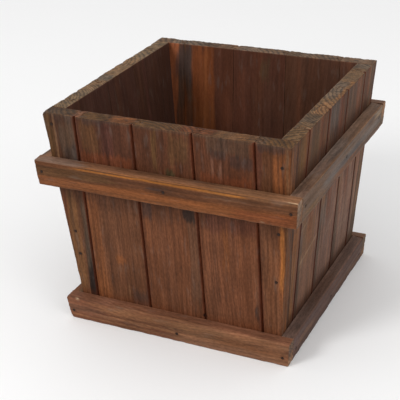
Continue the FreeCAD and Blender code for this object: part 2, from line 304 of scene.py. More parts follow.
# The main colour of each face. Walls have one for each board, and their outer faces one above
# and one below the middle rail.
TONE = dict(
    front_upper=[(78, 51, 37), (78, 48, 35), (84, 51, 35), (88, 53, 36), (83, 52, 34)],
    front_outer=[(94, 63, 45), (100, 64, 44), (101, 63, 43), (103, 64, 44), (102, 66, 46)],
    right_upper=[(68, 46, 28), (89, 65, 48), (68, 50, 42), (95, 73, 59), (105, 78, 61)],
    right_outer=[(113, 77, 56), (113, 82, 66), (116, 87, 74), (122, 93, 79), (143, 114, 97)],
    back_upper=[(90, 62, 47), (84, 57, 44), (92, 64, 50), (86, 60, 44), (88, 60, 42)],
    back_outer=[(102, 72, 54), (99, 67, 50), (104, 74, 57), (98, 68, 52), (102, 70, 50)],
    left_upper=[(88, 62, 48), (90, 62, 46), (84, 58, 43), (92, 64, 48), (86, 60, 46)],
    left_outer=[(102, 73, 55), (104, 74, 56), (98, 68, 50), (103, 74, 58), (100, 71, 55)],
    front_inner=[(72, 44, 32), (68, 40, 30), (73, 45, 32), (66, 40, 31), (70, 42, 31)],
    right_inner=[(68, 41, 31), (72, 44, 33), (66, 40, 30), (70, 42, 32), (68, 42, 32)],
    back_inner=[(72, 46, 35), (67, 43, 32), (66, 39, 29), (71, 41, 29), (82, 47, 32)],
    left_inner=[(64, 42, 34), (63, 41, 33), (62, 40, 33), (62, 40, 33), (63, 41, 33)],
    front_rim=(80, 55, 37), right_rim=(100, 79, 61), back_rim=(105, 84, 69),
    left_rim=(114, 95, 76), front_side=(84, 59, 43), back_side=(88, 66, 52),
    foot=(84, 62, 46), front_middle_face=(98, 62, 40), front_middle_top=(114, 79, 57),
    # right_middle_top is painted lighter, as painted light on a top that the wall shades from the key
    # lamp.
    right_middle_face=(103, 83, 71), right_middle_top=(114, 91, 76),
    front_base_face=(115, 76, 57), front_base_top=(105, 70, 53),
    right_base_face=(91, 69, 62), right_base_top=(90, 70, 61), rail_face=(100, 72, 56),
    rail_top=(98, 72, 57), rail_under=(84, 56, 42), rail_end=(92, 76, 64),
    floor_top=(80, 54, 40), floor_side=(74, 50, 38),
)
# Painted light and shade: how much lighter or darker than its tone each kind of face is painted, and
# any other kind, for the light that falls on it.
PAINTED_LIGHT_AND_SHADE = {"outer": 0.78, "side": 0.78, "face": 0.85, "inner": 1.25, "rim": 0.62, "top": 1.15}
OTHER_PAINTED_LIGHT_AND_SHADE = 0.85
NAIL_STAIN = (32, 19, 14)
VEE_COLOUR = {"front": (77, 35, 21), "side": (64, 28, 18)}

# Streaks and stains on a face, and some painted highlights and painted shade: from and to across the
# grain, from and to along it, colour and strength in percent, and for some, how far the two long edges
# drift across over the length.
# Across is sideways on walls, up on rails' faces, and inward on tops, rims and sides.
MARKS = {}
MARKS["front_outer"] = [
    (-150, -138, 214, 272, "ochre", 35), (-137, -134, 214, 270, "sand", 55),
    (-131, -110, 214, 266, "grey", 55), (-128, -108, 212, 234, "slate", 50),
    (-103, -82, 232, 268, "ochre", 25), (-76, -62, 224, 272, "plum", 60),
    (-104, -40, 212, 229, "rust", 55), (-13, -8, 218, 270, "ochre", 45, 0, 2),
    (-6, -1, 222, 270, "umber", 60, 0, 5), (8, 31, 234, 266, "olive", 40),
    (1, 12, 212, 223, "moss", 85), (52, 101, 252, 273, "grey", 50),
    (56, 74, 246, 256, "slate", 40), (78, 104, 239, 252, "slate", 50),
    (57, 61, 222, 249, "pink", 50), (66, 69, 220, 243, "pink", 50),
    (44, 104, 212, 227, "rust", 50), (109, 115, 214, 272, "plum", 50),
    (127, 150, 212, 264, "orange", 40, 0, 2), (128, 132, 214, 262, "orange", 50),
    (134.8, 138, 212, 262, "orange", 50), (133.5, 134.7, 212, 268, "umber", 45),
    (138.5, 140, 212, 272, "umber", 40), (142.5, 145.5, 214, 270, "sand", 50),
    (110, 142, 263, 273, "slate", 45), (-98, -74, 264, 273, "slate", 40),
    (-136, -110, 262, 273, "slate", 30), (-150, 150, 269, 273, "grey", 35),
    # The umber band across the whole wall, just under the middle rail, is stain and painted shade
    # under the rail.
    (-150, 150, 158, 186, "umber", 50), (-137, -121, 40, 168, "ochre", 25, 3, 0),
    (-143, -134, 100, 176, "rust", 35, 3, 0), (-119, -107, 24, 78, "soot", 85, 3, 0),
    (-117, -107, 70, 165, "grey", 70, 3, 0), (-107, -92, 24, 166, "orange", 38),
    (-107, -87, 24, 72, "orange", 35), (-76, -63, 86, 96, "orange", 60),
    (-66, -64.5, 30, 160, "umber", 40), (-64, -62, 38, 62, "sand", 45),
    (-58, -37, 24, 52, "slate", 50), (-34, -22, 158, 177, "slate", 50),
    (19, 33, 162, 177, "soot", 80), (22, 35, 50, 165, "grey", 32),
    (64, 72, 108, 162, "orange", 60), (53, 54.6, 30, 172, "umber", 45),
    (81, 82.6, 40, 160, "umber", 40), (96, 97.4, 34, 168, "umber", 40),
    (100, 104, 48, 64, "soot", 60), (44, 104, 156, 177, "plum", 40),
    (105, 111, 26, 96, "plum", 60), (128, 135.5, 60, 172, "orange", 50, 5, 5.5),
    (130, 134.5, 96, 172, "amber", 45, 4, 5), (140, 150, 40, 176, "olive", 50),
    (-130, 132, 20, 36, "rust", 35),
]
MARKS["right_outer"] = [
    (-131, -127.5, 20, 272, "umber", 70), (-126, -102, 20, 272, "ochre", 30),
    (-119, -104, 226, 268, "ochre", 30), (-24, 8, 242, 272, "ash", 35),
    (-84, -60, 228, 262, "olive", 30), (44, 62, 100, 152, "pink", 50),
    (84, 94, 96, 124, "pink", 40), (-24, -4, 120, 150, "ash", 50),
    (-92, -40, 96, 112, "sand", 30), (-84, -44, 116, 150, "ochre", 25),
    (104, 120, 60, 170, "pink", 40), (72, 74, 40, 170, "umber", 30),
    # The two umber bands across the whole wall, just above each rail, are dirt and painted shade where
    # the wall meets the rail.
    (-14, -11, 40, 170, "umber", 30), (-150, 150, 206, 232, "umber", 80),
    (-150, 150, 18, 44, "umber", 85),
]
MARKS["back_inner"] = [
    (96, 122, 60, 272, "olive", 35, 0, -5), (96, 122, 60, 272, "slate", 40, 0, -5),
    (122, 124, 60, 272, "ember", 85, -7, 7), (92, 121, 224, 272, "slate", 60, 0, -4),
    (104, 109, 60, 214, "cinnamon", 60), (97, 118, 60, 190, "cinnamon", 35),
    (61, 96, 60, 272, "cinnamon", 75, 3, 0), (74, 79, 60, 272, "orange", 30),
    (64, 94, 60, 190, "orange", 25), (-36, 8, 60, 236, "umber", 50),
    (-14, -2, 236, 262, "moss", 35), (-80, -66, 60, 272, "umber", 50),
    (-57.5, -52.5, 60, 272, "rust", 10), (20, 30, 60, 250, "rust", 10),
]
MARKS["left_inner"] = [
    (-112, -108, 40, 272, "umber", 50), (-60, -52, 40, 272, "plum", 30),
    (10, 22, 40, 272, "umber", 40),
]
MARKS["front_middle_face"] = [
    # The amber lines and the sand at the top edge (across 27 to 31.5) are a painted highlight along
    # the rounded top edge.
    (0, 14.5, -165, 165, "orange", 55, 0, 2), (15, 28, -165, 165, "umber", 43),
    (15, 27, -165, -60, "olive", 50), (27.6, 29.9, -98, 92, "amber", 90),
    (27.2, 29.6, -30, 96, "amber", 50), (0, 31, -165, -60, "umber", 22),
    (19, 31, 60, 165, "sand", 12), (6, 12, -92, 70, "orange", 35),
    (19, 26, 74, 160, "umber", 20), (0, 14, 84, 160, "rust", 50),
    (0, 14, 100, 160, "umber", 15), (18.5, 22.5, -14, 3, "slate", 55),
    (1, 3, 117, 119.5, "cream", 60), (28, 31.5, 104, 160, "sand", 30),
]
MARKS["front_middle_top"] = [
    # The amber line along the outer edge (across 0 to 2) is a painted highlight on the rounded edge,
    # and the umber strip by the wall (across 9 to 15) is dirt and painted shade where the top meets
    # the wall.
    (0, 15, -165, -100, "ash", 50), (0, 2, -98, 120, "amber", 40),
    (9, 15, -165, 165, "umber", 40), (0, 15, 60, 165, "sand", 35),
    (0, 1.6, 150, 161, "cream", 30),
]
MARKS["right_middle_face"] = [
    (0, 31, -165, -66, "ochre", 25), (0, 31, -165, -66, "umber", 17),
    (10, 21, -70, 165, "ash", 60), (13, 17, -30, 60, "slate", 35),
    (22, 30, 120, 160, "cream", 20), (0, 10, -130, -90, "ochre", 30),
]
MARKS["front_base_face"] = [
    # The sand line near the top edge (across 24 to 30) is a painted highlight along the rounded top
    # edge.
    (15, 17.5, -145, 145, "umber", 60, 0, 5), (8, 10, -120, 145, "umber", 50, -2, 3),
    (12, 22, -145, -96, "grey", 35), (24, 30, -110, 145, "sand", 35),
    (17, 19, -7, 1, "sand", 50), (1, 12, 15, 135, "pink", 40),
    (18, 31, 112, 145, "umber", 25), (0, 10, -145, -60, "umber", 20),
    (14, 31, 60, 145, "rust", 35), (0, 31, -145, 0, "rust", 15),
    (0, 31, 10, 145, "sand", 35), (28.5, 31, -132.5, -130, "cream", 80),
]
MARKS["front_base_top"] = [
    # The sand strip along the outer edge (across 0 to 3) is a painted highlight on the rounded edge.
    (0, 15, -104, -78, "pink", 40), (0, 2.5, -132.5, -130, "cream", 80),
    (0, 15, 100, 145, "umber", 30), (0, 3, -90, 145, "sand", 30),
]
MARKS["right_middle_top"] = [
    (3, 7, -100, 165, "slate", 30), (0, 15, -165, -100, "umber", 49),
    (2, 15, -90, 20, "ash", 40), (0, 2, -120, 165, "sand", 35),
]
MARKS["right_base_face"] = [
    (12, 20, -104, -66, "sand", 30), (22, 24, -20, 110, "orange", 35),
    (8, 11, 40, 120, "ochre", 35), (0, 9, -135, 135, "umber", 30),
]
MARKS["right_base_top"] = [
    (4, 15, -112, -96, "slate", 20), (0, 15, -60, 20, "umber", 42),
    (0, 2, -140, 140, "pink", 30),
]
MARKS["front_rim"] = [
    (0, 20, -150, -116, "grey", 60), (0, 20, -112, -101, "pink", 60),
    (0, 20, -100, -72, "olive", 50), (0, 20, -64, -40, "orange", 40),
    (0, 20, -34, 18, "olive", 35), (4, 20, 18, 60, "rust", 45),
    (0, 20, 62, 106, "sand", 40), (0, 20, 107, 120, "grey", 50),
    (0, 20, 120, 150, "olive", 50),
]
MARKS["right_rim"] = [
    (0, 20, -130, -96, "olive", 50), (0, 20, -78, -53, "grey", 70),
    (0, 14, -52, -8, "sand", 60), (4, 20, 0, 60, "ash", 40),
    (0, 5, 0, 62, "amber", 25), (0, 20, 110, 150, "ash", 40),
]
MARKS["back_rim"] = [
    (0, 20, 84, 124, "ash", 50), (0, 20, 30, 62, "sand", 25),
    (0, 20, 44, 80, "umber", 30), (0, 20, 0, 28, "ash", 40),
    (0, 20, -60, -34, "grey", 40),
]
MARKS["left_rim"] = [
    (0, 20, 14, 30, "ash", 60), (0, 20, -60, 10, "sand", 25),
    (0, 20, 76, 92, "grey", 60), (0, 20, 34, 70, "sand", 25),
    (0, 20, 40, 74, "umber", 20),
]
MARKS["front_side"] = [
    (0, 14, 20, 272, "orange", 50), (2, 4, 60, 272, "sand", 30),
    (8, 12, 214, 272, "slate", 40), (16, 20, 20, 272, "umber", 80),
]
# Thin slanting scratches: from and to, each across and along the grain, and strength likewise.
SCRATCHES = {
    "right_outer": [
        (-88, 103, -34, 115, 12), (-96, 146, -58, 156, 8), (40, 118, 62, 124, 7),
        (2, 98, 22, 112, 7), (86, 108, 92, 118, 6), (36, 78, 92, 80, 5),
    ],
}
BAND_WIDTH = 200  # a mark wider than this is a soft band of dirt and painted shade

# Scattered marks: how many a face has, and how many where it has no marks of its own.
SCATTERED = {"right_outer": 30, "right_middle_face": 8, "right_middle_top": 5, "front_base_face": 6}
SCATTERED_ALONE = 26
SCATTER = ("umber", "rust", "olive", "orange", "plum", "grey", "sand", "umber")
END_SCATTER = ("umber", "sand", "ash", "grey")
HALF_WIDTHS, END_HALF_WIDTHS = (0.8, 9), (8, 20)
REACHES, PERCENTS = (30, 160), (20, 55)


def marks_of(face, width, length, end_grain):
    """The face's own marks, with scattered ones before them."""
    own = MARKS.get(face, [])
    draw = np.random.default_rng(sum(map(ord, face)))
    found = []
    for _ in range(SCATTERED.get(face, 0 if own else SCATTERED_ALONE)):
        middle, start = draw.uniform(*width), draw.uniform(*length)
        half = draw.uniform(*(END_HALF_WIDTHS if end_grain else HALF_WIDTHS))
        reach = draw.uniform(*REACHES)
        choice = END_SCATTER if end_grain else SCATTER
        colour = choice[draw.integers(len(choice))]
        percent = draw.uniform(*PERCENTS)
        found.append((middle - half, middle + half, start, start + reach, colour, percent))
    return found + own


# How a mark's edges wander, fray and fade, in mm: the length of a bend and the most it shifts an
# edge, and the most that the edges are blurred.
WANDER_LONG, WANDER = 22, 3.0
HAIR_WIDE, HAIR_LONG, HAIR = 0.9, 70, 2.4
RAGGED_WIDE, RAGGED, END_RAGGED_WIDE, END_RAGGED = 1.6, 26.0, 5, 6
EDGE_BLUR, TIP_BLUR, END_TIP_BLUR = 1.6, 9.0, 2.5
SCRATCH_WIDE, SCRATCH_BLUR = 0.6, 2.4


def painted(face, tone, across, along, width, length, end_grain=False):
    """The colour of a face at points across and along its grain, as linear light, with the painted
    light and shade of its kind of face.
    """
    seed = sum(map(ord, face)) % 97
    colour = np.ones((len(across), 1)) * (linear(tone) if isinstance(tone, tuple) else tone)
    for k, mark in enumerate(marks_of(face, width, length, end_grain)):
        start, end, low, high, name, percent, *drift = mark
        start_drift, end_drift = drift or (0, 0)
        wide, tall = end - start, high - low
        t = np.clip((along - low) / tall, 0, 1)
        wander = (noise(along / WANDER_LONG, k, seed=seed) - 0.5) * min(WANDER, wide * 0.4)
        hair = noise(across / HAIR_WIDE, along / HAIR_LONG, k, seed=seed) - 0.5
        hair = hair * min(HAIR, wide * 0.5)
        blur = min(EDGE_BLUR, 0.25 + wide * 0.12)
        if end_grain:
            ragged = (noise(across / END_RAGGED_WIDE, k, seed=seed + 1) - 0.5) * END_RAGGED
            tip = END_TIP_BLUR
        else:
            ragged = noise(across / RAGGED_WIDE, k, seed=seed + 1) - 0.5
            ragged = ragged * min(RAGGED, tall * 0.5)
            tip = min(TIP_BLUR, tall * 0.2)
        if wide > BAND_WIDTH:
            ragged, tip = ragged * 0.2, tall * 0.4
        mask = smooth(across - start - start_drift * t + wander + hair, -blur, blur)
        mask = mask * smooth(end + end_drift * t - across - wander + hair, -blur, blur)
        mask = mask * smooth(along - low + ragged, -tip, tip)
        mask = mask * smooth(high - along + ragged, -tip, tip)
        colour = mixed(colour, linear(COLOUR[name]), (mask * (percent / 100))[:, None])
    for x0, z0, x1, z1, percent in SCRATCHES.get(face, ()):
        run, rise = x1 - x0, z1 - z0
        t = np.clip(((across - x0) * run + (along - z0) * rise) / (run**2 + rise**2), 0, 1)
        off = np.hypot(across - x0 - t * run, along - z0 - t * rise)
        off += (noise(across / 6, along / 6, seed=seed + 2) - 0.5) * 0.8
        mask = (1 - smooth(off, SCRATCH_WIDE, SCRATCH_BLUR))[:, None] * (percent / 100)
        colour = mixed(colour, linear(COLOUR["cream"]), mask)
    # Each kind of face is painted lighter or darker here, as painted light and shade.
    return colour * PAINTED_LIGHT_AND_SHADE.get(face.split("_")[-1], OTHER_PAINTED_LIGHT_AND_SHADE)


# ---- wear, grain and paint of a piece

# How deep the surface is worn, in mm: between the hard rings, in broad waves, in fine fibres,
# where an edge is knocked, and round a nail's head.
SOFT_DEEP, WAVE_DEEP, FIBRE_DEEP, KNOCK_DEEP, NAIL_DEEP = 0.11, 0.14, 0.07, 0.6, 0.55
PITH_ACROSS, PITH_DEPTH = (26, 62), (24, 60)  # how far the tree's heart is from a piece's middle
RING_SPACING = (3.4, 5.8)
HALO = 1.65  # how far a nail's stain reaches
VEE_SHARE, NAIL_SHARE = 0.8, 0.9  # strength of the stains in the grooves and round the nails
WARM = np.array([0.14, 0.0, -0.2])
KNOCK_WIDTH, WEAR_WIDTH = 1.5, 1.1
SHARP = math.radians(42)


def finish_piece(name, shape, grain, faces, nails, wall, slot, seed, dents=(), vee=0.0):
    """Weathers a swept piece, paints it and makes its mesh.

    grain is (across, depth, along) of every point in the piece's own wood, and faces are
    (direction, face name, tone, across, along, end grain) for each side the piece is painted by."""
    across, depth, along = grain
    xyz, normal = shape["xyz"], shape["normal"]
    draw = np.random.default_rng(1000 + seed)
    centre = (across.min() + across.max()) / 2
    side = draw.choice([-1, 1])
    pith_across = centre + side * draw.uniform(*PITH_ACROSS)
    pith_depth = draw.choice([-1, 1]) * draw.uniform(*PITH_DEPTH)
    spacing = draw.uniform(*RING_SPACING)
    sway = (noise(along / 140, seed, seed=3) - 0.5) * 16 + (noise(along / 45, seed, seed=4) - 0.5) * 3
    far = np.hypot(across - pith_across + sway, depth - pith_depth + sway * 0.5)
    rings = far / spacing + 1.6 * noise(far / (spacing * 2.5), seed, seed=9)
    part = rings % 1
    late = smooth(part, 0.35, 0.85) * (1 - smooth(part, 0.93, 1.0))

    end_axis = np.array([d for d, *_, end in faces if end])
    on_end = np.clip((np.abs(normal @ end_axis.T).max(1) - 0.5) / 0.35, 0, 1)
    hollow = SOFT_DEEP * (1 - late) * (1 + on_end)
    hollow += WAVE_DEEP * rough(across / 9, along / 70, depth / 9, seed=seed)
    hollow += FIBRE_DEEP * noise(across / 1.3, along / 26, depth / 1.3, seed=seed + 40)
    to_edge = shape["to_edge"]
    knock = smooth(rough(along / 11, across / 30, seed=seed + 60), 0.54, 0.85)
    hollow += KNOCK_DEEP * knock * bell(to_edge, KNOCK_WIDTH)
    stained = np.zeros(len(xyz))
    for nail in nails:
        away = norm(xyz - np.array(nail), axis=1)
        hollow += NAIL_DEEP * (1 - smooth(away, HEAD_RADIUS + 0.15, HEAD_RADIUS + 1.0))
        away = away + 1.4 * (noise(across / 1.5, along / 4, seed=seed + 7) - 0.5)
        stained = np.maximum(stained, bell(away, HALO))
    for *middle, radius, deep in dents:
        away = norm(xyz - np.array(middle), axis=1)
        hollow += deep * (1 - smooth(away, radius * 0.3, radius))
        stained = np.maximum(stained, 1 - smooth(away, radius * 0.7, radius * 1.4))
    xyz = np.clip(xyz - normal * hollow[:, None], xyz.min(0), xyz.max(0))

    colour, total = np.zeros((len(xyz), 3)), np.zeros((len(xyz), 1))
    for direction, face, tone, a, b, end_grain in faces:
        share = np.clip(normal @ np.array(direction, float) - 0.2, 0, 1)[:, None] ** 3 + 1e-6
        width, length = (a.min(), a.max()), (b.min(), b.max())
        colour += share * painted(face, tone, a, b, width, length, end_grain)
        total += share
    colour = colour / total
    drift = rough(across / 7, along / 130, depth / 7, seed=seed + 20) - 0.5
    cloud = rough(across / 34, along / 60, seed=seed + 30) - 0.5
    blotch = rough(across / 5, along / 9, depth / 5, seed=seed + 50) - 0.5
    colour = colour * (1 + 0.4 * drift + 0.3 * cloud + 1.2 * on_end * blotch)[:, None]
    warm = (rough(across / 12, along / 160, seed=seed + 80) - 0.5)[:, None]
    colour = colour * (1 + warm * WARM)
    vee = (np.ones(len(xyz)) * vee * VEE_SHARE)[:, None]
    colour = mixed(colour, linear(VEE_COLOUR[kind_of(wall)]), vee)
    colour = mixed(colour, linear(NAIL_STAIN), NAIL_SHARE * stained[:, None])
    colour = np.clip(colour, 0.001, 1)

    made = make_mesh(name, xyz, shape["faces"], wall)
    store(made, "grain", "FLOAT_VECTOR", np.stack([across + seed * 40, depth, along], 1))
    store(made, "rings", "FLOAT", rings)
    store(made, "paint", "FLOAT_COLOR", np.column_stack([colour, np.ones(len(xyz))]))
    store(made, "wear", "FLOAT", bell(to_edge, WEAR_WIDTH))
    store(made, "end_grain", "FLOAT", on_end)
    sheltered = smooth(normal[:, 1], 0.4, 0.8) * (slot == "wall_board")
    store(made, "sheltered", "FLOAT", sheltered)
    made.data.materials.append(MATERIAL[slot])
    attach(made, "root")
    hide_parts(name)


def make_mesh(name, xyz, faces, wall):
    """The mesh object in metres, turned from the front wall to its own."""
    turn = np.array(Matrix.Rotation(math.radians(WALLS[wall]), 3, "Z"))
    mesh = bpy.data.meshes.new(f"{name}_wood")
    mesh.from_pydata((xyz @ turn.T * MM).tolist(), [], faces)
    mesh.validate()
    mesh.shade_smooth()
    mesh.set_sharp_from_angle(angle=SHARP)
    made = bpy.data.objects.new(f"{name}_wood", mesh)
    bpy.context.scene.collection.objects.link(made)
    return made


def store(made, name, kind, values):
    """Stores one value for each of the mesh's points."""
    field = {"FLOAT": "value", "FLOAT_VECTOR": "vector", "FLOAT_COLOR": "color"}[kind]
    layer = made.data.attributes.new(name, kind, "POINT")
    layer.data.foreach_set(field, np.ascontiguousarray(values, np.float32).ravel())


# ---- materials


class Graph:
    """A material's node tree, built a node at a time."""

    def __init__(self, name):
        self.material = bpy.data.materials.new(name)
        self.material.use_nodes = True
        self.tree = self.material.node_tree
        self.tree.nodes.clear()

    def node(self, kind, inputs=(), **settings):
        made = self.tree.nodes.new(f"ShaderNode{kind}")
        for key, value in settings.items():
            setattr(made, key, value)
        for key, value in dict(inputs).items():
            if isinstance(value, bpy.types.NodeSocket):
                self.tree.links.new(value, made.inputs[key])
            else:
                made.inputs[key].default_value = value
        return made

    def stored(self, name, output="Fac"):
        return self.node("Attribute", attribute_name=name).outputs[output]

    def math(self, operation, *values):
        return self.node("Math", enumerate(values), operation=operation).outputs[0]

    def noise(self, vector, sizes, detail=2.0):
        """Noise with marks of a size along each axis."""
        by = tuple(1 / size for size in sizes)
        place = self.node("VectorMath", {0: vector, 1: by}, operation="MULTIPLY").outputs[0]
        inputs = {"Vector": place, "Scale": 1.0, "Detail": detail}
        return self.node("TexNoise", inputs).outputs["Fac"]

    def remap(self, value, low, high, to_low=0.0, to_high=1.0):
        inputs = {0: value, 1: low, 2: high, 3: to_low, 4: to_high}
        return self.node("MapRange", inputs, interpolation_type="SMOOTHSTEP").outputs[0]

    def blend(self, share, below, above, mode="MIX"):
        inputs = {0: share, 6: below, 7: above}
        made = self.node("Mix", inputs, data_type="RGBA", blend_type=mode)
        return made.outputs[2]

    def finish(self, **inputs):
        shader = self.node("BsdfPrincipled", {k.replace("_", " "): v for k, v in inputs.items()})
        self.node("OutputMaterial", {"Surface": shader.outputs[0]})
        return self.material


# What the wood's early rings, those on end grain and its late rings multiply its paint by, and
# the colours of pores, dust and rubbed edges, as linear light.
EARLY_TINT, EARLY_END_TINT, LATE_TINT = (1.14, 1.11, 1.06, 1), (1.8, 1.7, 1.5, 1), (0.44, 0.4, 0.38, 1)
PORE, DUST, BARE_WOOD = (0.03, 0.016, 0.011, 1), (0.16, 0.13, 0.11, 1), (0.24, 0.14, 0.085, 1)
SHELTERED_GRAIN = 0.5
FIBRE_BUMP, GRIT_BUMP = 0.12 * MM, 0.08 * MM
STEEL, RUST, GRIME = (0.016, 0.013, 0.012, 1), (0.034, 0.015, 0.009, 1), (0.015, 0.010, 0.008, 1)


def wood(name, ring_contrast, fibre_contrast, roughness):
    """Stained and weathered softwood. The paint, rings, wear and end grain of each point come
    from the piece's mesh, and so does how sheltered it is from the weather. Everything finer
    than about 1 mm is made here."""
    g = Graph(name)
    grain, paint = g.stored("grain", "Vector"), g.stored("paint", "Color")
    rings, wear, end = g.stored("rings"), g.stored("wear"), g.stored("end_grain")
    # The grain is weaker inside the box.
    relief = g.remap(g.stored("sheltered"), 0.0, 1.0, 1.0, SHELTERED_GRAIN)

    # Each noise has the size of its marks in mm: across the grain, in depth and along it.
    wobble = g.math("MULTIPLY", g.noise(grain, (2.5, 2.5, 40)), 0.9)
    part = g.math("FRACT", g.math("ADD", rings, wobble))
    late = g.math("MULTIPLY", g.remap(part, 0.3, 0.85), g.remap(part, 0.93, 1.0, 1.0, 0.0))
    hair = g.noise(grain, (0.32, 0.32, 14), 3.0)
    strand = g.noise(grain, (1.1, 1.1, 60), 2.0)
    band = g.noise(grain, (4.5, 4.5, 150), 2.0)
    fleck = g.noise(grain, (0.45, 0.45, 3.2), 1.0)
    cloud = g.noise(grain, (16, 16, 40), 3.0)
    mottle = g.noise(grain, (1.7, 1.7, 5), 2.0)

    ring_share = g.math("MULTIPLY", late, g.math("MULTIPLY_ADD", end, 0.4, ring_contrast))
    ring_share = g.math("MULTIPLY", ring_share, relief)
    early = g.blend(end, EARLY_TINT, EARLY_END_TINT)
    tint = g.blend(ring_share, early, LATE_TINT)
    colour = g.blend(1.0, paint, tint, "MULTIPLY")
    # Each noise lies near 0.5, so these factors leave the mean colour as painted.
    for field, least, most in (
        (hair, 1 - fibre_contrast, 1 + fibre_contrast),
        (strand, 1 - fibre_contrast, 1 + fibre_contrast),
        (band, 0.82, 1.18),
        (cloud, 0.86, 1.14),
        (mottle, 0.81, 1.19),
    ):
        level = g.remap(field, 0.25, 0.75, least, most)
        level = g.math("MULTIPLY_ADD", g.math("SUBTRACT", level, 1.0), relief, 1.0)
        colour = g.node("VectorMath", {0: colour, "Scale": level}, operation="SCALE").outputs[0]
    dark_fleck = g.math("MULTIPLY", g.remap(fleck, 0.66, 0.76, 0.0, 0.55), relief)
    colour = g.blend(dark_fleck, colour, PORE)
    dusty = g.remap(g.noise(grain, (7, 7, 30), 3.0), 0.56, 0.74, 0.0, 0.18)
    colour = g.blend(dusty, colour, DUST)
    rubbed = g.math("MULTIPLY_ADD", strand, 0.9, g.math("MULTIPLY", wear, 0.6))
    colour = g.blend(g.remap(rubbed, 0.75, 1.1, 0.0, 0.3), colour, BARE_WOOD)

    height = g.math("MULTIPLY_ADD", late, 0.5, g.math("MULTIPLY", hair, 0.5))
    height = g.math("MULTIPLY_ADD", strand, 0.6, height)
    height = g.math("SUBTRACT", height, g.math("MULTIPLY", dark_fleck, 0.5))
    bump = g.node("Bump", {"Height": height, "Strength": 0.7, "Distance": FIBRE_BUMP})
    gloss = g.remap(g.math("ADD", strand, g.math("MULTIPLY", late, -0.3)), 0.1, 0.8)
    gloss = g.math("MULTIPLY_ADD", gloss, 0.22, roughness)
    return g.finish(
        Base_Color=colour,
        Roughness=gloss,
        Normal=bump.outputs["Normal"],
        Specular_IOR_Level=0.06,
    )


def nail_steel():
    """Dull steel, browned with rust."""
    g = Graph("nail")
    place = g.node("NewGeometry").outputs["Position"]
    patch = g.noise(place, (0.9 * MM, 0.9 * MM, 0.9 * MM), 3.0)
    grit = g.noise(place, (0.2 * MM, 0.2 * MM, 0.2 * MM), 2.0)
    rust = g.remap(patch, 0.38, 0.6)
    colour = g.blend(rust, STEEL, RUST)
    colour = g.blend(g.remap(grit, 0.5, 0.8, 0.0, 0.5), colour, GRIME)
    bump = g.node("Bump", {"Height": grit, "Strength": 0.6, "Distance": GRIT_BUMP})
    return g.finish(
        Base_Color=colour,
        Metallic=g.remap(rust, 0.0, 1.0, 0.3, 0.0),
        Roughness=g.remap(patch, 0.3, 0.7, 0.5, 0.85),
        Specular_IOR_Level=0.15,
        Normal=bump.outputs["Normal"],
    )


MATERIAL = {
    "wall_board": wood("wall_board", 0.34, 0.13, 0.52),
    "rail": wood("rail", 0.24, 0.10, 0.50),
    "floor_wood": wood("floor_wood", 0.38, 0.14, 0.60),
}

# ---- wall boards

GROOVE_DEEP = TONGUE_LONG + TONGUE_PLAY + 0.2
JOINT_KEEP = 1.5  # width beside a tapered board's tongue that keeps its shape
# The same beside its free end, by how far out that end is at the foot.
FREE_KEEP = {FOOT: 3.0, FOOT - THICK: 0.5}
COVER_ROUND, INNER_ROUND, JOINT_ROUND, VEE_ROUND = 2.2, 0.5, 0.3, 0.35
TIGHT, WORN = 0.12, 1.0  # roundings of joint edges and of open edges at a piece's ends
BACK_WORN = 2.0  # rounding of the back and left rims' outer edges
VEE_STAIN = {"front": 2.2, "side": 2.7}  # how far the stain in a groove reaches
# The knot hole at the foot of the front wall's third joint.
KNOT_ACROSS, KNOT_HIGH, KNOT_IN, KNOT_RADIUS, KNOT_DEEP = 35.8, 36, 0.6, 2.4, 1.2
KNOT_BOARDS = (3, 4)
ALONG_STEP = {"front": 2.6, "right": 1.9, "back": 4.0, "left": 4.0, "rail": 3.4, "floor": 4.0}


def board_corners(left, right, free_round, free):
    """A board's level section at its top, as part.py draws it: groove left, tongue right."""
    middle, half_tongue = THICK / 2, TONGUE_THICK / 2
    half_groove = half_tongue + TONGUE_PLAY / 2
    worn = free_round > 1
    corners = []
    if left is None:
        corners.append((-free, THICK, INNER_ROUND if worn else 0, "side", False))
        corners.append((-free, 0, free_round, "outer", worn))
    else:
        edge = left + JOINT_GAP / 2
        bottom = edge + TONGUE_LONG + TONGUE_PLAY
        corners += [
            (edge, THICK, JOINT_ROUND, "joint", False),
            (edge, middle + half_groove, 0, "joint", False),
            (bottom, middle + half_groove, 0, "joint", False),
            (bottom, middle - half_groove, 0, "joint", False),
            (edge, middle - half_groove, 0, "joint", False),
            (edge, VEE_DEPTH, 0, "vee", False),
            (edge + VEE_WIDTH, 0, VEE_ROUND, "outer", False),
        ]
    if right is None:
        corners.append((free, 0, free_round, "side", worn))
        corners.append((free, THICK, INNER_ROUND if worn else 0, "inner", False))
    else:
        edge = right - JOINT_GAP / 2
        tip = edge + TONGUE_LONG
        corners += [
            (edge - VEE_WIDTH, 0, VEE_ROUND, "vee", False),
            (edge, VEE_DEPTH, 0, "joint", False),
            (edge, middle - half_tongue, 0, "joint", False),
            (tip, middle - half_tongue, 0, "joint", False),
            (tip, middle + half_tongue, 0, "joint", False),
            (edge, middle + half_tongue, 0, "joint", False),
            (edge, THICK, JOINT_ROUND, "inner", False),
        ]
    return corners


